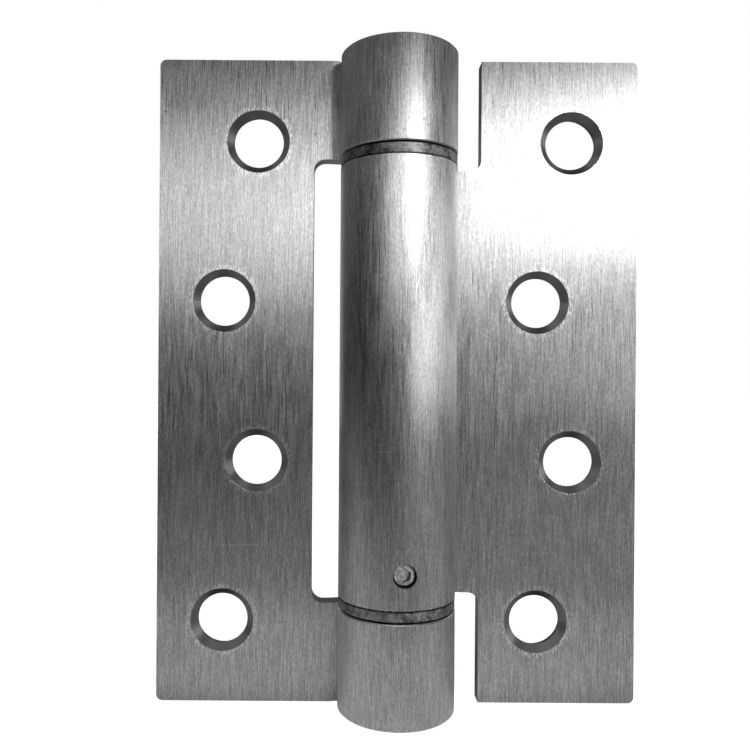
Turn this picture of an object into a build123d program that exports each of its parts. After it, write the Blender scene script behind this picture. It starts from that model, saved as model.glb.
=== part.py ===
from build123d import *

import os
from math import acos, atan2, cos, degrees, hypot, radians, sin, sqrt, tan

# Single-action spring hinge for a door, lying open flat.
# The pin axis is Z and the origin lies on it at mid height. The faces with the
# countersinks look to -Y. The frame leaf is on the -X side, the door leaf on +X.
# All lengths are in millimetres and all angles in degrees.

# Leaves
LEAF_HEIGHT = 102.0
LEAF_REACH = 38.0           # pin axis to a leaf's outer edge
SHEET = 3.0                 # thickness of the rolled sheet
CLOSED_GAP = 3.0            # between the leaves' faces when the hinge is closed
OUTER_CORNER = 1.0          # radius of the leaves' outer corners
INNER_CORNER = 1.8          # radius in the corners of the window and notches
WINDOW_MARGIN = 1.85        # flat sheet between the frame leaf's bend and its window
NOTCH_MARGIN = 1.6          # flat sheet between the door leaf's bend and its notches
EDGE_BREAK = 0.2            # small chamfer round the ends of the barrel and knuckles

# Rolled barrel and knuckles
BARREL_RADIUS = 9.15
BEND_RADIUS = 9.1           # middle of the sheet, where it bends back to the barrel
SEAM_GAP = 0.2              # rolled end to the face of its own leaf
KNUCKLE_LENGTH = 15.7       # each of the frame leaf's two knuckles

# Screw holes
SCREWS_PER_LEAF = 4
SCREW_PITCH = 25.4
EDGE_TO_HOLE = 10.4         # outer edge to the outer column of holes
ZIGZAG = 5.3                # between the two columns
HOLE_DIAMETER = 7.9
COUNTERSINK_DIAMETER = 10.0
COUNTERSINK_ANGLE = 90.0
PUNCH_LAND = 0.4            # straight stretch of a hole below its countersink
PUNCH_WIDENING = 0.5        # how much a punched hole's radius grows towards the back

# Flanged bushes between the barrel and the knuckles
FLANGE_THICKNESS = 1.5
FLANGE_INSET = 0.05         # flange's rim behind the barrel's surface
END_GAP = 0.3               # running gap between flange and knuckle
SLEEVE_LENGTH = 2.2
BUSH_WALL = 1.85

# Spindles
PLUG_RECESS = 0.5           # plug's outer face behind the knuckle's end
PLUG_CHAMFER = 0.5
KNURL_COUNT = 18
KNURL_DEPTH = 0.25
KNURL_MARGIN = 2.5          # plain stretch at each end of the plug
ARBOR_LENGTH = 4.5          # slotted end that drives the spring
KEY_PASSAGE = 5.0           # diameter of the way in for the hexagon key

# Tension adjuster and its lock screw
KEY_SIZE = 4.0              # across the flats of the hexagon key
KEY_DEPTH = 4.0
GROOVE_WIDTH = 2.6
GROOVE_DEPTH = 1.0
GROOVE_LAND = 1.2           # adjuster's rim above the groove
LOCK_HEIGHT = 5.2           # lock screw above the barrel's lower end
LOCK_DIAMETER = 3.4
LOCK_TURN = 4.4             # its place round the barrel, from the front to the door leaf's side
LOCK_RECESS = 1.0
LOCK_POINT_DIAMETER = 2.1
LOCK_POINT_STANDOFF = 0.3   # tip to the floor of the adjuster's groove
LOCK_SOCKET = 1.9           # across the flats
LOCK_SOCKET_DEPTH = 0.9
LOCK_SOCKET_TURN = 20.0     # how far the socket stands turned
LOCK_CHAMFER = 0.2

# Torsion spring of rectangular wire
WIRE_RADIAL = 1.7
WIRE_AXIAL = 3.0
TURN_GAP = 0.45             # least gap between two turns
STEPS_PER_TURN = 12         # straight lengths that each turn is drawn with
TANG_FLATTENING = 0.2       # tangs are this much lower than the wire

# Clearances
PRESS_CLEARANCE = 0.02      # all round a pressed-in piece
RUNNING_CLEARANCE = 0.05    # all round a shaft or screw that turns
ADJUSTER_CLEARANCE = 0.1    # all round the adjuster in the barrel
SPRING_CLEARANCE = 0.3      # coil to the bore
ARBOR_CLEARANCE = 0.35      # coil to the arbor inside it
SLOT_CLEARANCE = 0.15       # each side of a tang in its slot
STACK_CLEARANCE = 0.3       # between pieces that turn on each other, end to end
CUT = 2.0                   # how far a cutter stands past what it cuts

# Places worked out from the sizes above
FACE_Y = CLOSED_GAP / 2
BACK_Y = FACE_Y + SHEET
BORE_RADIUS = BARREL_RADIUS - SHEET
ROLL_MIDDLE = BARREL_RADIUS - SHEET / 2
BEND_Y = (FACE_Y + BACK_Y) / 2 + BEND_RADIUS
BEND_X = sqrt((ROLL_MIDDLE + BEND_RADIUS) ** 2 - BEND_Y**2)
WINDOW_EDGE = BEND_X + WINDOW_MARGIN
NOTCH_EDGE = BEND_X + NOTCH_MARGIN
HALF_HEIGHT = LEAF_HEIGHT / 2
KNUCKLE_INNER = HALF_HEIGHT - KNUCKLE_LENGTH
BARREL_HALF = KNUCKLE_INNER - END_GAP - FLANGE_THICKNESS
SLEEVE_END = BARREL_HALF - SLEEVE_LENGTH
SLEEVE_BORE = BORE_RADIUS - BUSH_WALL
JOURNAL_RADIUS = SLEEVE_BORE - RUNNING_CLEARANCE
LOCK_Z = LOCK_HEIGHT - BARREL_HALF
COIL_OUTER = BORE_RADIUS - SPRING_CLEARANCE
COIL_MIDDLE = COIL_OUTER - WIRE_RADIAL / 2
ARBOR_RADIUS = COIL_OUTER - WIRE_RADIAL - ARBOR_CLEARANCE
ADJUSTER_RADIUS = BORE_RADIUS - ADJUSTER_CLEARANCE
ADJUSTER_FOOT = STACK_CLEARANCE - SLEEVE_END
ADJUSTER_SHOULDER = LOCK_Z + GROOVE_WIDTH / 2 + GROOVE_LAND
COIL_FOOT = ADJUSTER_SHOULDER + STACK_CLEARANCE + WIRE_AXIAL / 2
COIL_HEAD = SLEEVE_END - STACK_CLEARANCE - WIRE_AXIAL / 2
COIL_RISE = COIL_HEAD - COIL_FOOT
SPRING_TURNS = int(2 * COIL_RISE / (WIRE_AXIAL + TURN_GAP)) / 2
TANG_HEIGHT = WIRE_AXIAL - TANG_FLATTENING
SLOT_WIDTH = WIRE_RADIAL + 2 * SLOT_CLEARANCE


def turned(half_outline):
    """A piece turned about Z, from the (radius, z) points of half its section."""
    section = Plane.XZ * make_face(Polyline(*half_outline, close=True))
    return revolve(section, Axis.Z)


def leaf_section():
    """Section of a leaf on the +X side: flat sheet, bend back to the barrel, and roll."""
    join = degrees(atan2(BEND_Y, BEND_X))
    reach = hypot(BEND_X, BEND_Y)
    face_radius = BEND_RADIUS + SHEET / 2
    back_radius = BEND_RADIUS - SHEET / 2
    clear = face_radius + SEAM_GAP
    off = acos((BARREL_RADIUS**2 + reach**2 - clear**2) / (2 * BARREL_RADIUS * reach))
    roll_end = join - degrees(off)
    roll_sweep = 360 + roll_end - join
    bend_sweep = 90 - join
    centre = (BEND_X, BEND_Y)

    def on_roll(radius):
        return (radius * cos(radians(roll_end)), radius * sin(radians(roll_end)))

    outline = [
        Line((LEAF_REACH, FACE_Y), (BEND_X, FACE_Y)),
        CenterArc(centre, face_radius, -90, -bend_sweep),
        CenterArc((0, 0), BORE_RADIUS, join, roll_sweep),
        Line(on_roll(BORE_RADIUS), on_roll(BARREL_RADIUS)),
        CenterArc((0, 0), BARREL_RADIUS, join, roll_sweep),
        CenterArc(centre, back_radius, -90, -bend_sweep),
        Line((BEND_X, BACK_Y), (LEAF_REACH, BACK_Y)),
        Line((LEAF_REACH, BACK_Y), (LEAF_REACH, FACE_Y)),
    ]
    return make_face(Curve() + outline)


def rolled_leaf():
    """Leaf on the +X side before its window or notches, barrel over its full height."""
    leaf = extrude(leaf_section(), HALF_HEIGHT, both=True)
    corners = leaf.edges().filter_by(Axis.Y).group_by(Axis.X)[-1]
    return fillet(corners, OUTER_CORNER)


def opening_cutter(edge_x, low_z, high_z):
    """Cutter from edge_x past the far side of the barrel, rounded where it cuts the leaf."""
    far = BARREL_RADIUS + CUT
    block = Plane.XZ * Pos((edge_x - far) / 2, (low_z + high_z) / 2)
    return extrude(block * RectangleRounded(edge_x + far, high_z - low_z, INNER_CORNER), far, both=True)


def countersunk_hole():
    """Cutter for one punched screw hole, along Y, the countersink towards -Y."""
    wide = COUNTERSINK_DIAMETER / 2
    narrow = HOLE_DIAMETER / 2
    back = narrow + PUNCH_WIDENING
    cone_end = FACE_Y + (wide - narrow) / tan(radians(COUNTERSINK_ANGLE / 2))
    half_outline = [
        (0, FACE_Y - CUT),
        (wide, FACE_Y - CUT),
        (wide, FACE_Y),
        (narrow, cone_end),
        (narrow, cone_end + PUNCH_LAND),
        (back, BACK_Y),
        (back, BACK_Y + CUT),
        (0, BACK_Y + CUT),
    ]
    return revolve(make_face(Polyline(*half_outline, close=True)), Axis.Y)


def hole_places(first_is_outer):
    """(x, z) of a leaf's screw holes on the +X side, from the top, in a zigzag."""
    outer = LEAF_REACH - EDGE_TO_HOLE
    top = SCREW_PITCH * (SCREWS_PER_LEAF - 1) / 2
    columns = [outer, outer - ZIGZAG] if first_is_outer else [outer - ZIGZAG, outer]
    return [(columns[n % 2], top - SCREW_PITCH * n) for n in range(SCREWS_PER_LEAF)]


def with_screw_holes(leaf, first_is_outer):
    """The leaf with its row of countersunk holes."""
    cutter = countersunk_hole()
    for x, z in hole_places(first_is_outer):
        leaf -= Pos(x, 0, z) * cutter
    return leaf


def with_broken_edges(leaf, ends):
    """The leaf with small chamfers round the outer faces of its barrel or knuckles."""
    on_surface = leaf.edges().filter_by(GeomType.CIRCLE).filter_by(
        lambda e: abs(e.radius - BARREL_RADIUS) < 1e-6 and abs(e.arc_center.X) < 1e-6
    )
    rims = [e for e in on_surface if any(abs(e.center().Z - z) < 1e-6 for z in ends)]
    return chamfer(rims, EDGE_BREAK)


def lock_place():
    """Where the lock screw's axis meets the pin axis, with Z turned to point out of the barrel."""
    return Rot(0, 0, LOCK_TURN) * Pos(0, 0, LOCK_Z) * Rot(90, 0, 0)


def door_leaf():
    """Leaf that is screwed to the door, with the long barrel and its lock-screw hole."""
    leaf = rolled_leaf()
    past = HALF_HEIGHT + CUT + INNER_CORNER
    leaf -= opening_cutter(NOTCH_EDGE, BARREL_HALF, past)
    leaf -= opening_cutter(NOTCH_EDGE, -past, -BARREL_HALF)
    leaf = with_broken_edges(leaf, (BARREL_HALF, -BARREL_HALF))
    leaf = with_screw_holes(leaf, True)
    lock_hole = Cylinder(LOCK_DIAMETER / 2 + RUNNING_CLEARANCE, 2 * BARREL_RADIUS,
                         align=(Align.CENTER, Align.CENTER, Align.MIN))
    return leaf - lock_place() * lock_hole


def frame_leaf():
    """Leaf that is screwed to the frame, with a knuckle above and below its window."""
    leaf = rolled_leaf() - opening_cutter(WINDOW_EDGE, -KNUCKLE_INNER, KNUCKLE_INNER)
    rims = (HALF_HEIGHT, KNUCKLE_INNER, -KNUCKLE_INNER, -HALF_HEIGHT)
    leaf = with_broken_edges(leaf, rims)
    return mirror(with_screw_holes(leaf, False), Plane.YZ)


def flanged_bush():
    """Bush in the barrel's upper end: flange on the barrel's end, sleeve in its bore."""
    rim = BARREL_RADIUS - FLANGE_INSET
    sleeve = BORE_RADIUS - PRESS_CLEARANCE
    top = BARREL_HALF + FLANGE_THICKNESS
    return turned([
        (SLEEVE_BORE, SLEEVE_END),
        (sleeve, SLEEVE_END),
        (sleeve, BARREL_HALF),
        (rim, BARREL_HALF),
        (rim, top),
        (SLEEVE_BORE, top),
    ])


def knurl_cutter():
    """One groove of the straight knurl that grips the knuckle, along Z."""
    length = KNUCKLE_LENGTH - PLUG_RECESS - 2 * KNURL_MARGIN
    plug = BORE_RADIUS - PRESS_CLEARANCE
    groove = Polyline((plug - KNURL_DEPTH, 0), (plug + KNURL_DEPTH, 2 * KNURL_DEPTH),
                      (plug + KNURL_DEPTH, -2 * KNURL_DEPTH), close=True)
    return Pos(0, 0, KNUCKLE_INNER + KNURL_MARGIN) * extrude(make_face(groove), length)


def spindle_plug():
    """Plug in the upper knuckle with the journal that runs in the bush."""
    plug = BORE_RADIUS - PRESS_CLEARANCE
    top = HALF_HEIGHT - PLUG_RECESS
    body = turned([
        (0, SLEEVE_END),
        (JOURNAL_RADIUS, SLEEVE_END),
        (JOURNAL_RADIUS, KNUCKLE_INNER),
        (plug, KNUCKLE_INNER),
        (plug, top - PLUG_CHAMFER),
        (plug - PLUG_CHAMFER, top),
        (0, top),
    ])
    groove = knurl_cutter()
    for n in range(KNURL_COUNT):
        body -= Rot(0, 0, 360 * n / KNURL_COUNT) * groove
    return body


def slotted_arbor():
    """Round post that stands up from z=0, with a slot along X for a tang of the spring."""
    post = Cylinder(ARBOR_RADIUS, ARBOR_LENGTH, align=(Align.CENTER, Align.CENTER, Align.MIN))
    floor = STACK_CLEARANCE + (WIRE_AXIAL - TANG_HEIGHT) / 2 - SLOT_CLEARANCE
    slot = Box(4 * ARBOR_RADIUS, SLOT_WIDTH, ARBOR_LENGTH,
               align=(Align.CENTER, Align.CENTER, Align.MIN))
    return post - Pos(0, 0, floor) * slot


def upper_spindle():
    """Fixed spindle in the upper knuckle, its slotted arbor holding the spring's head."""
    arbor = Pos(0, 0, SLEEVE_END) * Rot(180, 0, coil_turn()) * slotted_arbor()
    return spindle_plug() + arbor


def lower_spindle():
    """Fixed spindle in the lower knuckle, bored through for the key."""
    passage = Cylinder(KEY_PASSAGE / 2, 2 * LEAF_HEIGHT)
    return mirror(spindle_plug(), Plane.XY) - passage


def tension_adjuster():
    """Plug that winds the spring: key socket below, locking groove, slotted arbor above."""
    floor = ADJUSTER_RADIUS - GROOVE_DEPTH
    low = LOCK_Z - GROOVE_WIDTH / 2
    high = LOCK_Z + GROOVE_WIDTH / 2
    body = turned([
        (0, ADJUSTER_FOOT),
        (ADJUSTER_RADIUS, ADJUSTER_FOOT),
        (ADJUSTER_RADIUS, low),
        (floor, low),
        (floor, high),
        (ADJUSTER_RADIUS, high),
        (ADJUSTER_RADIUS, ADJUSTER_SHOULDER),
        (0, ADJUSTER_SHOULDER),
    ])
    socket = extrude(RegularPolygon(KEY_SIZE / 2, 6, major_radius=False), KEY_DEPTH)
    body += Pos(0, 0, ADJUSTER_SHOULDER) * slotted_arbor()
    return body - Pos(0, 0, ADJUSTER_FOOT) * socket


def coil_turn():
    """Angle about Z from the spring's foot to its head. The coil is left-handed."""
    return -360 * SPRING_TURNS


def spring_tang():
    """Straight end of the wire, along X from the coil across the axis."""
    outer = COIL_MIDDLE + WIRE_RADIAL / 2 - TANG_FLATTENING
    return Pos((outer - ARBOR_RADIUS) / 2) * Box(outer + ARBOR_RADIUS, WIRE_RADIAL, TANG_HEIGHT)


def wire_corners(step, steps):
    """Corners of the wire's section after so many steps along the coil, from inner low round."""
    inner = COIL_MIDDLE - WIRE_RADIAL / 2
    outer = COIL_MIDDLE + WIRE_RADIAL / 2
    middle = COIL_RISE * step / steps
    low = middle - WIRE_AXIAL / 2
    high = middle + WIRE_AXIAL / 2
    places = [(inner, low), (outer, low), (outer, high), (inner, high)]
    angle = coil_turn() * step / steps
    return [Vector(radius, 0, z).rotate(Axis.Z, angle) for radius, z in places]


def wire_length(start, end):
    """Faces of one straight length of wire: flat inner and outer walls, creased flanks."""
    faces = []
    for n in range(4):
        a, b, c, d = start[n], start[n - 3], end[n - 3], end[n]
        if n % 2:
            faces.append(flat_face(a, b, c, d))
        else:
            faces.append(flat_face(a, b, c))
            faces.append(flat_face(a, c, d))
    return faces


def flat_face(*corners):
    """Flat face with these corners."""
    return Face(Wire.make_polygon(corners, close=True))


def torsion_spring():
    """Coil of rectangular wire with a tang across the axis at each end."""
    steps = round(SPRING_TURNS * STEPS_PER_TURN)
    sections = [wire_corners(n, steps) for n in range(steps + 1)]
    faces = [flat_face(*sections[0]), flat_face(*sections[-1])]
    for start, end in zip(sections, sections[1:]):
        faces += wire_length(start, end)
    coil = Solid(Shell(faces))
    foot = spring_tang()
    head = Pos(0, 0, COIL_RISE) * Rot(0, 0, coil_turn()) * spring_tang()
    return Pos(0, 0, COIL_FOOT) * (coil + foot + head)


def lock_screw():
    """Grub screw in the barrel's front: socket outside, plain point in the groove."""
    radius = LOCK_DIAMETER / 2
    point = LOCK_POINT_DIAMETER / 2
    tip = ADJUSTER_RADIUS - GROOVE_DEPTH + LOCK_POINT_STANDOFF
    shoulder = ADJUSTER_RADIUS + STACK_CLEARANCE
    outer = BARREL_RADIUS - LOCK_RECESS
    body = turned([
        (0, tip),
        (point, tip),
        (point, shoulder),
        (radius, shoulder),
        (radius, outer - LOCK_CHAMFER),
        (radius - LOCK_CHAMFER, outer),
        (0, outer),
    ])
    socket = extrude(RegularPolygon(LOCK_SOCKET / 2, 6, major_radius=False), -LOCK_SOCKET_DEPTH)
    body -= Pos(0, 0, outer) * Rot(0, 0, LOCK_SOCKET_TURN) * socket
    return lock_place() * body


PIECES = {
    "frame_leaf": frame_leaf(),
    "door_leaf": door_leaf(),
    "upper_spindle": upper_spindle(),
    "lower_spindle": lower_spindle(),
    "upper_bush": flanged_bush(),
    "lower_bush": mirror(flanged_bush(), Plane.XY),
    "tension_adjuster": tension_adjuster(),
    "torsion_spring": torsion_spring(),
    "lock_screw": lock_screw(),
}

os.makedirs("parts", exist_ok=True)
for name, piece in PIECES.items():
    export_step(piece, f"parts/{name}.step")
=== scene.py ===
import math

import bpy
from bpy.props import FloatProperty, FloatVectorProperty, PointerProperty
from bpy.types import NodeSocket, Operator, Panel, PropertyGroup
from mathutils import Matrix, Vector


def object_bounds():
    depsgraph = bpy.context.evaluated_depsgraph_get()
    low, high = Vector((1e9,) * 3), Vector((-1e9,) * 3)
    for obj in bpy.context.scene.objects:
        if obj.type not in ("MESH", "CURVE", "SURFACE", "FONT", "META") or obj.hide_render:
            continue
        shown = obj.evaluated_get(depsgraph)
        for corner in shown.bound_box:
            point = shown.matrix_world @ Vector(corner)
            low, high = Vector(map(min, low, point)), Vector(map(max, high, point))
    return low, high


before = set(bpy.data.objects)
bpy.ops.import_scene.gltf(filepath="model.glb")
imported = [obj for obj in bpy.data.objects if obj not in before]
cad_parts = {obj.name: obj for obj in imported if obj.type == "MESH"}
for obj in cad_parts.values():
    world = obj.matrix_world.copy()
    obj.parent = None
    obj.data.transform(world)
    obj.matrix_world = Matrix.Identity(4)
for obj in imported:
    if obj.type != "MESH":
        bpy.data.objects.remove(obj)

bl_info = {
    "name": "Spring Hinge Studio",
    "version": (1, 0, 0),
    "blender": (4, 5, 0),
    "location": "3D View > Sidebar > Hinge",
    "description": "Finishes a brushed steel spring hinge and sets it up in a white studio",
    "category": "Material",
}

CAD_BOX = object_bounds()

# Places and sizes on the hinge in metres.
FLOOR_HEIGHT = CAD_BOX[0][2]
FACE_Y = 0.0015             # front face of both leaves
BEND_X = 0.0117             # a leaf is flat beyond this
HOLE_PITCH = 0.0254
HOLE_STAGGER = 0.0053
FRAME_HOLE_X = -0.0276
DOOR_HOLE_X = 0.0223
SINK_RADIUS = 0.0050
BARREL_REACH = 0.0092       # just over the barrel's radius
FLANGE_LOW = 0.0335
FLANGE_HIGH = 0.0350
LOCK_HEIGHT = -0.0283
LOCK_AXIS = (0.0767, 0.9971)
# inside this the barrel is painted in shade for the lock screw's hole
LOCK_HOLE_RADIUS = 0.00176
# beyond this the lock screw's face is painted in shade for its rim
LOCK_RIM_RADIUS = 0.00152

# Sizes of the finishes in metres.
SINK_BLUR = (-0.00003, 0.00001)             # the countersink's edge fades over this
SINK_RING_PITCH = 0.00022
SINK_RING_DEPTH = 0.0000015
BURR_WIDTH = 0.0009                         # bright streaks round a countersink
CHIP_BAND = (0.03305, 0.0333, 0.0336)       # the barrel's edge is chipped between these heights
# the painted shade of the lock screw's hole and of its rim fades over these
LOCK_HOLE_BLUR = 0.00004
LOCK_RIM_BLUR = 0.0001
FLANGE_EDGE_SHADE = (0.0002, 0.00015)                 # the flange's edges carry painted shade this far, where they meet the knuckles
OIL_DEPTH = 0.00003
TURNED_DEPTH = 0.000006
WIRE_DEPTH = 0.000008
MARK_REACH = 0.001                          # a mark shows this far before and behind its place
SPECK = 0.00018                             # the finest grain
SHEARED_GRAIN = 0.00028

# Nearly all of a noise lies between these.
NOISE_ENDS = (0.3, 0.7)

# How much lighter or darker details make the brushed steel, as a share of its colour.
HAIRLINE_CHANGE = -0.08
BURR_CHANGE = 1.3
CHIP_CHANGE = 0.8
# painted shade on the cut edges and the ends of the rolled parts, mottled by the sheared grain
EDGE_SHADE_CHANGE = (-0.66, -0.50)
# painted shade in the countersinks; their turned rings come on top of it
SINK_SHADE_TONE = 0.52
SINK_RING_TONE = 0.04
# painted shade in the lock screw's hole in the barrel
LOCK_HOLE_SHADE = 0.2

ROUGHNESS_SWING = 0.05      # a reflection's blur swings this far each way along the lines
QUARTER_TURN = 0.25         # lays a reflection's blur across the brushing or the tool marks

# Marks of use on the leaves and on their rolled parts, one a scratch with a painted glint: place
# (x, y, z), half length, half width, slant in degrees, and how much lighter or darker.
LEAF_MARKS = (
    ((-0.0253, FACE_Y, -0.0262), 0.0046, 0.00010, 1, 0.35),
    ((-0.0371, FACE_Y, 0.0427), 0.00035, 0.00016, 40, -0.65),
    ((-0.0132, FACE_Y, 0.0393), 0.00030, 0.00014, -60, -0.60),
    ((0.0132, FACE_Y, 0.0308), 0.00016, 0.00016, 0, -0.60),
    ((0.0376, FACE_Y, 0.0282), 0.00034, 0.00013, 60, -0.50),
    ((-0.0026, -0.0088, -0.0102), 0.0019, 0.00009, 2, 0.45),
    ((0.0022, -0.0089, 0.0141), 0.0023, 0.00010, 78, 0.60),
    ((0.0013, -0.0090, 0.0391), 0.00014, 0.00014, 0, -0.60),
    ((0.0024, -0.0088, 0.0389), 0.00012, 0.00012, 0, -0.50),
    ((0.0030, -0.0086, 0.0384), 0.00018, 0.00015, 30, -0.60),
    ((0.0036, -0.0084, 0.0377), 0.00020, 0.00015, 50, -0.60),
    ((0.0087, -0.0024, 0.0256), 0.00035, 0.00012, 25, -0.80),
    # a scratch on the upper knuckle, painted three times as light as the steel as a glint along it
    ((-0.0049, -0.0077, 0.0432), 0.0014, 0.00014, 90, 2.00),
    ((0.0011, -0.0090, -0.0244), 0.0006, 0.00012, 60, 0.80),
    ((-0.0005, -0.0091, -0.0247), 0.0003, 0.00013, 20, 0.90),
    ((-0.0010, -0.0091, -0.0257), 0.0004, 0.00011, 70, 0.70),
    ((0.0102, 0.0008, -0.0328), 0.0008, 0.00022, 65, 1.20),
)

# Lamps: name, degrees to the right of the front, degrees up, metres away, width and height.
LAMPS = (
    ("main", 28, 17.0, 0.50, 0.13, 0.12),
    ("low", 44, 2, 0.50, 0.38, 0.09),
    ("side", 78, 8, 0.50, 0.40, 0.16),
    ("left", -9, 14, 0.50, 0.13, 0.12),
    ("top", 0, 62, 0.50, 0.36, 0.40),
    ("back", -140, 6, 0.60, 0.30, 0.30),
)
LAMP_SPREAD = math.radians(50)

FLOOR_REACH = 1.5           # half the floor's side
FLOOR_DROP = 0.0001         # the floor lies this far below the hinge
SHADOW_REACH = (0.05, 0.18) # beyond this far from the hinge the floor is all white

# The floor's glow in the metal: where it comes and goes along y, and how strong it gets.
STRIP_COMES = (-0.07, -0.03)
STRIP_GOES = (-0.008, 0.006)
STRIP_GLOW = 0.18
BEHIND_COMES = (0.01, 0.06)
BEHIND_GLOW = 0.16
RIGHT_COMES = (-0.60, -0.20)
RIGHT_GOES = (-0.10, -0.05)
RIGHT_SIDE = (0.0, 0.12)    # along x
RIGHT_GLOW = 0.16

# The room's level from the floor up, what metal mirrors of its far end, and a dusky left wall.
ROOM_LEVEL = (0.045, 0.07)
FAR_END_GLOW = 0.12
FAR_END_LEFT = 0.25         # share of that glow that is left on the far left
DUSK_CHANGE = (-0.85, 0.9)  # at eye level and above and below it

CAMERA_PLACE = (-0.0084, -0.1195, 0.0013)
CAMERA_TURN = (math.radians(90), math.radians(-0.4), 0.0)
CAMERA_FRAME = {
    "sensor_width": 36.0,
    "lens": 36.48,
    "shift_x": 0.0411,
    "shift_y": -0.0027,
    "clip_start": 0.005,
    "clip_end": 10.0,
}


class SteelLook(PropertyGroup):
    """Brushed stainless steel of the leaves."""

    colour: FloatVectorProperty(
        name="Colour", description="Reflection colour of the steel",
        subtype="COLOR", size=3, min=0.0, max=1.0, default=(0.62, 0.62, 0.62),
    )
    roughness: FloatProperty(
        name="Roughness", description="How far the brushing blurs a reflection",
        subtype="FACTOR", min=0.05, max=1.0, default=0.29,
    )
    stretch: FloatProperty(
        name="Stretch",
        description="How much more a reflection blurs across the brushing than along it",
        subtype="FACTOR", min=0.0, max=1.0, default=0.87,
    )
    line_width: FloatProperty(
        name="Line width", description="Width of one brushed line",
        subtype="DISTANCE", unit="LENGTH", min=0.00005, max=0.002, default=0.00014,
    )
    line_length: FloatProperty(
        name="Line length", description="Length of one brushed line",
        subtype="DISTANCE", unit="LENGTH", min=0.0005, max=0.05, default=0.0042,
    )
    line_depth: FloatProperty(
        name="Line depth", description="Depth of the brushed lines",
        subtype="DISTANCE", unit="LENGTH", min=0.0, max=0.0001, default=0.0000065,
    )


class FittingLook(PropertyGroup):
    """Steel of the bushes, spindles, spring and lock screw."""

    bush_colour: FloatVectorProperty(
        name="Bush", description="Oiled dark steel of the flanged bushes",
        subtype="COLOR", size=3, min=0.0, max=1.0, default=(0.22, 0.22, 0.22),
    )
    turned_colour: FloatVectorProperty(
        name="Turned steel", description="Lathe-turned steel of the spindles and the adjuster",
        subtype="COLOR", size=3, min=0.0, max=1.0, default=(0.56, 0.56, 0.55),
    )
    spring_colour: FloatVectorProperty(
        name="Spring", description="Oil-tempered wire of the spring",
        subtype="COLOR", size=3, min=0.0, max=1.0, default=(0.20, 0.19, 0.18),
    )
    screw_colour: FloatVectorProperty(
        name="Lock screw", description="Bright steel of the lock screw",
        subtype="COLOR", size=3, min=0.0, max=1.0, default=(0.80, 0.80, 0.79),
    )


class StudioLook(PropertyGroup):
    """Lamps and floor."""

    main_power: FloatProperty(
        name="Main lamp", description="Power of the soft lamp in front on the right",
        subtype="POWER", unit="POWER", min=0.0, max=5.0, default=0.039,
    )
    low_power: FloatProperty(
        name="Low lamp", description="Power of the wide weak lamp level with the hinge",
        subtype="POWER", unit="POWER", min=0.0, max=5.0, default=0.018,
    )
    side_power: FloatProperty(
        name="Side lamp", description="Power of the wide weak lamp on the right",
        subtype="POWER", unit="POWER", min=0.0, max=5.0, default=0.023,
    )
    left_power: FloatProperty(
        name="Left lamp", description="Power of the weak lamp in front on the left",
        subtype="POWER", unit="POWER", min=0.0, max=5.0, default=0.0096,
    )
    top_power: FloatProperty(
        name="Top lamp", description="Power of the broad lamp above",
        subtype="POWER", unit="POWER", min=0.0, max=5.0, default=0.060,
    )
    back_power: FloatProperty(
        name="Back lamp", description="Power of the lamp behind on the left, for the edges",
        subtype="POWER", unit="POWER", min=0.0, max=5.0, default=0.03,
    )
    floor_glow: FloatProperty(
        name="White", description="How white the floor shows in the hinge's shadow",
        subtype="FACTOR", min=0.0, max=1.0, default=0.90,
    )
    floor_colour: FloatVectorProperty(
        name="Floor", description="Colour of the floor",
        subtype="COLOR", size=3, min=0.0, max=1.0, default=(0.85, 0.85, 0.85),
    )


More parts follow.
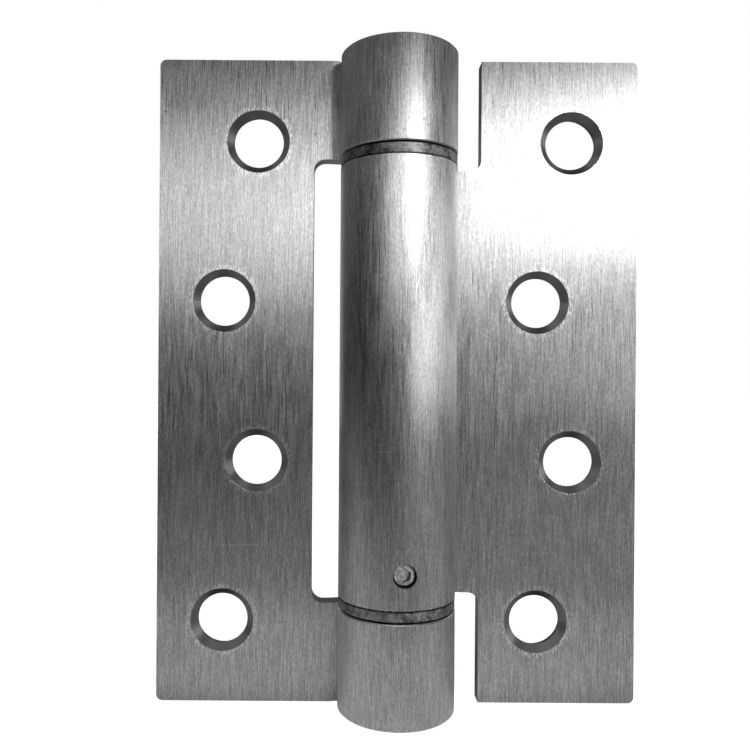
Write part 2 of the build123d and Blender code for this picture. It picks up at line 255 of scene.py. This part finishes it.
class Recipe:
    """A material or world in the making, with short ways to add and join nodes."""

    def __init__(self, tree, coordinates="Object"):
        self.tree = tree
        tree.nodes.clear()
        source = self.add("ShaderNodeTexCoord").outputs
        self.place = source[coordinates]
        self.x, self.y, self.z = self.add("ShaderNodeSeparateXYZ", Vector=self.place).outputs
        self.facing = self.add("ShaderNodeSeparateXYZ", Vector=source["Normal"]).outputs

    def add(self, kind, settings=None, **inputs):
        """A new node with its settings, and its inputs joined or filled in."""
        node = self.tree.nodes.new(kind)
        for name, value in (settings or {}).items():
            setattr(node, name, value)
        for name, value in inputs.items():
            self.put(node.inputs[name.replace("_", " ")], value)
        return node

    def put(self, socket, value):
        """Joins a socket to the input, or writes a plain value in it."""
        if isinstance(value, NodeSocket):
            self.tree.links.new(value, socket)
        else:
            socket.default_value = value

    def sum(self, operation, *values):
        """One step of arithmetic on numbers or number sockets."""
        node = self.add("ShaderNodeMath", {"operation": operation})
        for socket, value in zip(node.inputs, values):
            self.put(socket, value)
        return node.outputs[0]

    def times(self, first, *others):
        """All of them multiplied."""
        for other in others:
            first = self.sum("MULTIPLY", first, other)
        return first

    def plus(self, first, *others):
        """All of them added up."""
        for other in others:
            first = self.sum("ADD", first, other)
        return first

    def size(self, value):
        """The value without its sign."""
        return self.sum("ABSOLUTE", value)

    def distance(self, across, rise):
        """Length of the straight way that goes so far across and so far up."""
        return self.sum("SQRT", self.plus(self.times(across, across), self.times(rise, rise)))

    def ramp(self, value, low, high, start=0.0, end=1.0, smooth=True):
        """value from low to high becomes start to end, held at both ends."""
        kind = "SMOOTHSTEP" if smooth else "LINEAR"
        node = self.add("ShaderNodeMapRange", {"interpolation_type": kind}, Value=value)
        numbers = {"From Min": low, "From Max": high, "To Min": start, "To Max": end}
        for name, number in numbers.items():
            self.put(node.inputs[name], number)
        return node.outputs[0]

    def layers(self, *layers):
        """Ramps multiplied, such as layers of grain that make one tone. Each is what ramp takes."""
        return self.times(*(self.ramp(*layer) for layer in layers))

    def grain(self, across, along, detail=2.0, roughness=0.5, shift=0.0):
        """Noise between 0 and 1 with cells of those sizes in metres."""
        scaled = self.add("ShaderNodeMapping", Vector=self.place)
        scaled.inputs["Scale"].default_value = (1.0 / across, 1.0 / across, 1.0 / along)
        scaled.inputs["Location"].default_value = (shift, shift, shift)
        return self.noise(scaled.outputs[0], detail, roughness)

    def noise(self, place, detail, roughness):
        """Noise between 0 and 1 with cells of size 1."""
        node = self.add(
            "ShaderNodeTexNoise", Vector=place, Scale=1.0, Detail=detail, Roughness=roughness
        )
        return node.outputs[0]

    def mark(self, place, length, width, slant):
        """1 in the middle of a long narrow patch on the front, 0 outside it."""
        patch = self.add("ShaderNodeMapping", {"vector_type": "TEXTURE"}, Vector=self.place)
        patch.inputs["Location"].default_value = place
        patch.inputs["Rotation"].default_value = (0.0, -math.radians(slant), 0.0)
        patch.inputs["Scale"].default_value = (length, MARK_REACH, width)
        away = self.add("ShaderNodeVectorMath", {"operation": "LENGTH"})
        self.put(away.inputs[0], patch.outputs[0])
        return self.ramp(away.outputs["Value"], 0.55, 1.0, 1.0, 0.0)

    def tint(self, colour, tone):
        """colour made lighter or darker by tone."""
        node = self.add("ShaderNodeVectorMath", {"operation": "SCALE"})
        node.inputs[0].default_value = colour
        self.put(node.inputs["Scale"], tone)
        return node.outputs[0]

    def relief(self, height, depth, normal=None):
        """A normal that rises and falls with height, on top of another if one is given."""
        node = self.add("ShaderNodeBump", Height=height, Strength=1.0, Distance=depth)
        if normal is not None:
            self.put(node.inputs["Normal"], normal)
        return node.outputs[0]

    def steel(self, colour, roughness, normal, stretch=0.0, tangent=None, turn=0.0):
        """Ends the material as a metal."""
        metal = self.add(
            "ShaderNodeBsdfPrincipled",
            Metallic=1.0, Base_Color=colour, Roughness=roughness, Normal=normal,
        )
        metal.inputs["Anisotropic"].default_value = stretch
        metal.inputs["Anisotropic Rotation"].default_value = turn
        if tangent is not None:
            self.put(metal.inputs["Tangent"], tangent)
        self.add("ShaderNodeOutputMaterial", Surface=metal.outputs[0])

    def looks(self):
        """1 for what the camera sees straight or through glass, and 1 for what metal mirrors."""
        seen = self.add("ShaderNodeLightPath").outputs
        direct = self.sum("MAXIMUM", seen["Is Camera Ray"], seen["Is Transmission Ray"])
        return direct, seen["Is Glossy Ray"]


def new_material(name):
    """An empty material made of nodes."""
    material = bpy.data.materials.new(name)
    material.use_nodes = True
    return material


def dress(material, *names):
    """Gives CAD nodes a material in every slot."""
    for name in names:
        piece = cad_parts[name]
        if not piece.material_slots:
            piece.data.materials.append(material)
        for slot in piece.material_slots:
            slot.material = material


def hole_distance(recipe):
    """Distance to the axis of the nearest screw hole, which stagger from row to row."""
    up = recipe.plus(recipe.z, 2 * HOLE_PITCH)
    row = recipe.sum("GREATER_THAN", recipe.sum("MODULO", up, 2 * HOLE_PITCH), HOLE_PITCH)
    rise = recipe.sum("SUBTRACT", recipe.sum("MODULO", up, HOLE_PITCH), HOLE_PITCH / 2)
    door_side = recipe.sum("GREATER_THAN", recipe.x, 0.0)
    base = recipe.sum("MULTIPLY_ADD", door_side, DOOR_HOLE_X - FRAME_HOLE_X, FRAME_HOLE_X)
    centre = recipe.sum("MULTIPLY_ADD", row, HOLE_STAGGER, base)
    return recipe.distance(recipe.sum("SUBTRACT", recipe.x, centre), rise)


def lock_distance(recipe):
    """Distance to the axis of the lock screw's hole in front of the pin, far more behind it."""
    across = recipe.plus(
        recipe.times(recipe.x, LOCK_AXIS[1]), recipe.times(recipe.y, LOCK_AXIS[0])
    )
    away = recipe.distance(across, recipe.sum("SUBTRACT", recipe.z, LOCK_HEIGHT))
    return recipe.plus(away, recipe.sum("GREATER_THAN", recipe.y, 0.0))


def cut_edge(recipe):
    """1 on the sheet's sheared edges and on the ends of its rolled parts, where shade is painted, 0
    on its faces.
    """
    on_leaf = recipe.sum("GREATER_THAN", recipe.size(recipe.x), BEND_X)
    side = recipe.ramp(recipe.size(recipe.facing[1]), 0.25, 0.55, 1.0, 0.0)
    end = recipe.ramp(recipe.size(recipe.facing[2]), 0.6, 0.9)
    return recipe.sum("MAXIMUM", recipe.times(side, on_leaf), end)


def barrel_chips(recipe):
    """1 in the bright chips along the barrel's edges, beside the bushes."""
    height = recipe.size(recipe.z)
    start, full, end = CHIP_BAND
    lip = recipe.times(recipe.ramp(height, start, full), recipe.sum("LESS_THAN", height, end))
    chip = recipe.ramp(recipe.grain(0.0006, 0.0003, shift=41.0), 0.55, 0.64)
    on_barrel = recipe.sum("LESS_THAN", recipe.size(recipe.x), BARREL_REACH)
    return recipe.times(lip, chip, on_barrel)


def screw_shade_and_fleck(recipe):
    """Painted shade on the lock screw's rim and on the walls of its key socket, and flecks on its
    face.
    """
    front = recipe.plus(
        recipe.times(recipe.facing[0], LOCK_AXIS[0]), recipe.times(recipe.facing[1], -LOCK_AXIS[1])
    )
    away = lock_distance(recipe)
    # painted shade on faces turned from the screw's axis, painted shade beyond the rim, and flecks
    return recipe.layers(
        (recipe.size(front), 0.3, 0.9, 0.12, 1.0),
        (away, LOCK_RIM_RADIUS, LOCK_RIM_RADIUS + LOCK_RIM_BLUR, 1.0, 0.12),
        (recipe.grain(0.0005, 0.0004, shift=9.0), 0.42, 0.60, 0.75, 1.55),
    )


def brushed_steel(look):
    """Satin stainless steel, brushed along the pin, with machined countersinks and marks of use,
    painted shade on its cut edges, in its countersinks and in the lock screw's hole, and a painted
    glint on one scratch.
    """
    material = new_material("brushed_steel")
    r = Recipe(material.node_tree)
    width, length = look.line_width, look.line_length
    fine = r.grain(width, length, detail=1.0)
    short = r.grain(width, length * 0.14, detail=1.0, shift=23.0)
    middle = r.grain(width * 3.4, length * 3.2, shift=7.3)
    broad = r.grain(width * 18, length * 5, shift=3.1)
    speck = r.grain(SPECK, SPECK + 0.00002, detail=1.0, shift=11.0)
    hairline = r.ramp(r.grain(width * 0.8, length * 5.5, detail=1.0, shift=19.0), 0.66, 0.74)
    sheared = r.grain(SHEARED_GRAIN, SHEARED_GRAIN, detail=3.0, roughness=0.65, shift=31.0)

    away = hole_distance(r)
    sink = r.ramp(away, SINK_RADIUS + SINK_BLUR[0], SINK_RADIUS + SINK_BLUR[1], 1.0, 0.0)
    plain = r.sum("SUBTRACT", 1.0, sink)
    near_sink = r.ramp(away, SINK_RADIUS, SINK_RADIUS + BURR_WIDTH, 1.0, 0.0)
    burr = r.times(near_sink, plain, r.ramp(short, 0.50, 0.58))
    rings = r.sum("SINE", r.times(away, 2 * math.pi / SINK_RING_PITCH))

    tone = r.layers(
        (fine, 0.34, 0.66, 0.78, 1.22, False),
        (short, *NOISE_ENDS, 0.78, 1.22, False),
        (middle, *NOISE_ENDS, 0.95, 1.05, False),
        (broad, *NOISE_ENDS, 0.96, 1.04),
        (speck, *NOISE_ENDS, 0.93, 1.07),
    )
    tone = r.sum("MULTIPLY_ADD", hairline, HAIRLINE_CHANGE, tone)
    for place, half_length, half_width, slant, change in LEAF_MARKS:
        patch = r.mark(place, half_length, half_width, slant)
        tone = r.sum("MULTIPLY_ADD", patch, change, tone)
    # painted shade in the countersinks, with their turned rings on top
    sink_shade_tone = r.sum("MULTIPLY_ADD", rings, SINK_RING_TONE, SINK_SHADE_TONE)
    tone = r.plus(r.times(tone, plain), r.times(sink_shade_tone, sink))
    tone = r.sum("MULTIPLY_ADD", burr, BURR_CHANGE, tone)
    tone = r.sum("MULTIPLY_ADD", barrel_chips(r), CHIP_CHANGE, tone)
    # painted shade on the cut edges and the ends of the rolled parts, mottled by the sheared grain
    edge_shade_change = r.ramp(sheared, *NOISE_ENDS, *EDGE_SHADE_CHANGE)
    edge_shade_tone = r.sum("MULTIPLY_ADD", cut_edge(r), edge_shade_change, 1.0)
    # painted shade in the lock screw's hole in the barrel
    hole_end = LOCK_HOLE_RADIUS + LOCK_HOLE_BLUR
    lock_hole_shade = r.ramp(lock_distance(r), LOCK_HOLE_RADIUS, hole_end, LOCK_HOLE_SHADE, 1.0)
    tone = r.times(tone, edge_shade_tone, lock_hole_shade)

    smoothest, roughest = look.roughness - ROUGHNESS_SWING, look.roughness + ROUGHNESS_SWING
    rough = r.ramp(fine, *NOISE_ENDS, smoothest, roughest, smooth=False)
    for source, share in ((middle, 0.06), (sink, 0.20)):
        rough = r.sum("MULTIPLY_ADD", source, share, rough)

    lines = fine
    for source, share in ((middle, 0.7), (short, 0.8), (speck, 0.25)):
        lines = r.sum("MULTIPLY_ADD", source, share, lines)
    normal = r.relief(r.times(lines, plain), look.line_depth)
    normal = r.relief(r.times(rings, sink), SINK_RING_DEPTH, normal)
    up = r.add("ShaderNodeCombineXYZ", Z=1.0).outputs[0]
    r.steel(r.tint(look.colour, tone), rough, normal, look.stretch, tangent=up, turn=QUARTER_TURN)
    return material


def oiled_steel(look):
    """Dark steel with an uneven film of oil, and painted shade along the flange's edges where they
    meet the knuckles.
    """
    material = new_material("oiled_steel")
    r = Recipe(material.node_tree)
    cloud = r.grain(0.0011, 0.0009, detail=4.0, roughness=0.65)
    fleck = r.grain(0.00022, 0.00018, detail=3.0, roughness=0.7, shift=5.0)
    height = r.size(r.z)
    # painted shade along the flange's edges where they meet the knuckles, mottled by the flecks
    low_edge = r.ramp(height, FLANGE_LOW, FLANGE_LOW + FLANGE_EDGE_SHADE[0], 1.0, 0.0)
    high_edge = r.ramp(height, FLANGE_HIGH - FLANGE_EDGE_SHADE[1], FLANGE_HIGH)
    edge_shade = r.sum("MAXIMUM", low_edge, high_edge)
    edge_shade = r.sum("MULTIPLY_ADD", edge_shade, r.ramp(fleck, *NOISE_ENDS, -0.9, -0.5), 1.0)
    film = r.layers((cloud, 0.35, 0.66, 0.65, 2.0), (fleck, *NOISE_ENDS, 0.55, 1.5))
    rough = r.ramp(cloud, 0.35, 0.7, 0.26, 0.50)
    normal = r.relief(r.plus(fleck, cloud), OIL_DEPTH)
    r.steel(r.tint(look.bush_colour, r.times(film, edge_shade)), rough, normal)
    return material


def turned_steel(name, colour, pitch, roughness, face=None):
    """Steel from a lathe: fine rings round the axis and faint tool marks, and a face's tone if one
    is given, which on the lock screw is painted shade and flecks.
    """
    material = new_material(name)
    r = Recipe(material.node_tree)
    ring_count = r.times(r.plus(r.distance(r.x, r.y), r.z), 1.0 / pitch)
    rings = r.noise(r.add("ShaderNodeCombineXYZ", X=ring_count).outputs[0], 3.0, 0.7)
    cloud = r.grain(0.0014, 0.0014, detail=3.0, roughness=0.6)
    speck = r.grain(SPECK, SPECK, shift=4.0)
    tone = r.layers(
        (rings, *NOISE_ENDS, 0.82, 1.14, False),
        (cloud, *NOISE_ENDS, 0.86, 1.06),
        (speck, *NOISE_ENDS, 0.94, 1.06),
    )
    if face is not None:
        tone = r.times(tone, face(r))
    rough = r.ramp(cloud, *NOISE_ENDS, roughness, roughness + 0.14)
    normal = r.relief(r.sum("MULTIPLY_ADD", speck, 0.3, rings), TURNED_DEPTH)
    around = r.add("ShaderNodeTangent", {"direction_type": "RADIAL", "axis": "Z"}).outputs[0]
    r.steel(r.tint(colour, tone), rough, normal, stretch=0.5, tangent=around, turn=QUARTER_TURN)
    return material


def tempered_wire(look):
    """Oil-tempered spring wire: dark brown-grey, drawn along its length, with lighter clouds."""
    material = new_material("tempered_wire")
    r = Recipe(material.node_tree)
    drawn = r.grain(0.0016, 0.00012, detail=3.0, roughness=0.6)
    cloud = r.grain(0.0022, 0.0022, detail=3.0, roughness=0.6, shift=3.0)
    tone = r.layers((drawn, *NOISE_ENDS, 0.8, 1.25, False), (cloud, 0.35, 0.7, 0.75, 1.35))
    rough = r.ramp(cloud, *NOISE_ENDS, 0.28, 0.46)
    r.steel(r.tint(look.spring_colour, tone), rough, r.relief(drawn, WIRE_DEPTH))
    return material


def floor_white(look):
    """Matt white that shows white to the camera, glows a little in the metal, keeps shadows."""
    material = new_material("floor_white")
    r = Recipe(material.node_tree)
    fibre = r.grain(0.0016, 0.0016, detail=3.0)
    cloud = r.grain(0.06, 0.06, shift=2.0)
    tone = r.layers((fibre, *NOISE_ENDS, 0.985, 1.0), (cloud, *NOISE_ENDS, 0.985, 1.0))

    direct, mirrored = r.looks()
    strip = r.layers((r.y, *STRIP_COMES, 0.0, STRIP_GLOW), (r.y, *STRIP_GOES, 1.0, 0.0))
    behind = r.ramp(r.y, *BEHIND_COMES, 0.0, BEHIND_GLOW)
    right = r.layers(
        (r.y, *RIGHT_COMES, 0.0, RIGHT_GLOW), (r.x, *RIGHT_SIDE), (r.y, *RIGHT_GOES, 1.0, 0.0)
    )
    mirrored = r.times(mirrored, r.plus(strip, behind, right))
    in_shadow = r.ramp(r.distance(r.x, r.y), *SHADOW_REACH, look.floor_glow, 1.0)
    direct = r.times(direct, in_shadow)
    strength = r.sum("MAXIMUM", direct, mirrored)

    matt = r.add("ShaderNodeBsdfDiffuse", Color=r.tint(look.floor_colour, tone), Roughness=0.5)
    glowing = r.add("ShaderNodeEmission", Strength=strength)
    both = r.add("ShaderNodeAddShader")
    for socket, shader in zip(both.inputs, (matt, glowing)):
        r.put(socket, shader.outputs[0])
    r.add("ShaderNodeOutputMaterial", Surface=both.outputs[0])
    return material


def flat_sheet(name, reach, height, material):
    """A square stage sheet round the origin."""
    corners = [(x * reach, y * reach, height) for x, y in ((-1, -1), (1, -1), (1, 1), (-1, 1))]
    mesh = bpy.data.meshes.new(name)
    mesh.from_pydata(corners, [], [(0, 1, 2, 3)])
    mesh.materials.append(material)
    piece = bpy.data.objects.new(name, mesh)
    bpy.context.scene.collection.objects.link(piece)


def lamp(name, azimuth, elevation, distance, width, height, power):
    """A soft lamp aimed at the hinge, with its place given as in LAMPS."""
    turn = math.radians(azimuth)
    rise = math.radians(elevation)
    level = math.cos(rise)
    away = Vector((math.sin(turn) * level, -math.cos(turn) * level, math.sin(rise)))
    data = bpy.data.lights.new(name, "AREA")
    data.shape = "RECTANGLE"
    data.size = width
    data.size_y = height
    data.spread = LAMP_SPREAD
    data.energy = power
    holder = bpy.data.objects.new(name, data)
    bpy.context.scene.collection.objects.link(holder)
    holder.location = away * distance
    holder.rotation_euler = (-away).to_track_quat("-Z", "Y").to_euler()


def studio_air():
    """A dim room that shows white to the camera: paler behind, dark on the left at eye level."""
    world = bpy.data.worlds.new("studio_air")
    world.use_nodes = True
    r = Recipe(world.node_tree, "Generated")
    direct, mirrored = r.looks()
    far_end = r.layers((r.y, 0.0, 0.25, 0.0, FAR_END_GLOW), (r.x, -0.6, 0.1, FAR_END_LEFT, 1.0))
    dusk = r.ramp(r.size(r.z), 0.10, 0.36, *DUSK_CHANGE)
    dusk = r.sum("MULTIPLY_ADD", r.ramp(r.x, -0.85, -0.35, 1.0, 0.0), dusk, 1.0)
    level = r.times(r.ramp(r.z, -0.2, 1.0, *ROOM_LEVEL), dusk)
    level = r.plus(level, r.times(mirrored, far_end))
    strength = r.sum("MAXIMUM", level, direct)
    air = r.add("ShaderNodeBackground", Color=(1.0, 1.0, 1.0, 1.0), Strength=strength)
    r.add("ShaderNodeOutputWorld", Surface=air.outputs[0])
    return world


def front_camera(scene):
    """A camera close in front of the hinge."""
    data = bpy.data.cameras.new("front_camera")
    for name, value in CAMERA_FRAME.items():
        setattr(data, name, value)
    camera = bpy.data.objects.new("front_camera", data)
    scene.collection.objects.link(camera)
    camera.location = CAMERA_PLACE
    camera.rotation_euler = CAMERA_TURN
    return camera


class HINGE_OT_finish_leaves(Operator):
    """Brush the frame leaf and the door leaf along the pin"""

    bl_idname = "hinge.finish_leaves"
    bl_label = "Leaves"

    def execute(self, context):
        dress(brushed_steel(context.scene.hinge_steel), "frame_leaf", "door_leaf")
        return {"FINISHED"}


class HINGE_OT_finish_spindles(Operator):
    """Turn the two spindles and the tension adjuster"""

    bl_idname = "hinge.finish_spindles"
    bl_label = "Spindles and adjuster"

    def execute(self, context):
        colour = context.scene.hinge_fittings.turned_colour
        coarse = turned_steel("turned_steel", colour, pitch=0.00022, roughness=0.26)
        fine = turned_steel("turned_steel_fine", colour, pitch=0.00016, roughness=0.30)
        dress(coarse, "upper_spindle", "lower_spindle")
        dress(fine, "tension_adjuster")
        return {"FINISHED"}


class HINGE_OT_finish_bushes(Operator):
    """Oil the two flanged bushes"""

    bl_idname = "hinge.finish_bushes"
    bl_label = "Bushes"

    def execute(self, context):
        dress(oiled_steel(context.scene.hinge_fittings), "upper_bush", "lower_bush")
        return {"FINISHED"}


class HINGE_OT_finish_spring(Operator):
    """Temper the spring wire"""

    bl_idname = "hinge.finish_spring"
    bl_label = "Spring"

    def execute(self, context):
        dress(tempered_wire(context.scene.hinge_fittings), "torsion_spring")
        return {"FINISHED"}


class HINGE_OT_finish_lock_screw(Operator):
    """Turn the lock screw bright"""

    bl_idname = "hinge.finish_lock_screw"
    bl_label = "Lock screw"

    def execute(self, context):
        colour = context.scene.hinge_fittings.screw_colour
        # the lock screw's face carries painted shade at its rim and on its socket's walls
        bright = turned_steel("bright_screw", colour, 0.00014, 0.30, face=screw_shade_and_fleck)
        dress(bright, "lock_screw")
        return {"FINISHED"}


class HINGE_OT_set_studio(Operator):
    """Put the hinge on a white floor under soft lamps, with the camera in front"""

    bl_idname = "hinge.set_studio"
    bl_label = "Studio"

    def execute(self, context):
        scene = context.scene
        look = scene.hinge_studio
        flat_sheet("studio_floor", FLOOR_REACH, FLOOR_HEIGHT - FLOOR_DROP, floor_white(look))
        for name, *place in LAMPS:
            lamp(name + "_lamp", *place, power=getattr(look, name + "_power"))
        scene.world = studio_air()
        scene.camera = front_camera(scene)
        scene.view_settings.view_transform = "Standard"
        return {"FINISHED"}


class HINGE_PT_sidebar(Panel):
    """The hinge's finishes and studio"""

    bl_idname = "HINGE_PT_sidebar"
    bl_label = "Spring Hinge"
    bl_space_type = "VIEW_3D"
    bl_region_type = "UI"
    bl_category = "Hinge"

    def draw(self, context):
        for name, group, title in LOOKS:
            box = self.layout.box()
            box.label(text=title)
            for key in group.__annotations__:
                box.prop(getattr(context.scene, name), key)
        column = self.layout.column()
        for step in STEPS:
            column.operator(step.bl_idname)


LOOKS = (
    ("hinge_steel", SteelLook, "Leaves"),
    ("hinge_fittings", FittingLook, "Fittings"),
    ("hinge_studio", StudioLook, "Studio"),
)
STEPS = (
    HINGE_OT_set_studio,
    HINGE_OT_finish_leaves,
    HINGE_OT_finish_spindles,
    HINGE_OT_finish_bushes,
    HINGE_OT_finish_spring,
    HINGE_OT_finish_lock_screw,
)


def register():
    for name, group, _ in LOOKS:
        bpy.utils.register_class(group)
        setattr(bpy.types.Scene, name, PointerProperty(type=group))
    for step in STEPS:
        bpy.utils.register_class(step)
    bpy.utils.register_class(HINGE_PT_sidebar)


def unregister():
    bpy.utils.unregister_class(HINGE_PT_sidebar)
    for step in reversed(STEPS):
        bpy.utils.unregister_class(step)
    for name, group, _ in reversed(LOOKS):
        delattr(bpy.types.Scene, name)
        bpy.utils.unregister_class(group)


def main():
    register()
    bpy.ops.hinge.set_studio()
    bpy.ops.hinge.finish_leaves()
    bpy.ops.hinge.finish_spindles()
    bpy.ops.hinge.finish_bushes()
    bpy.ops.hinge.finish_spring()
    bpy.ops.hinge.finish_lock_screw()


if __name__ == "__main__":
    main()
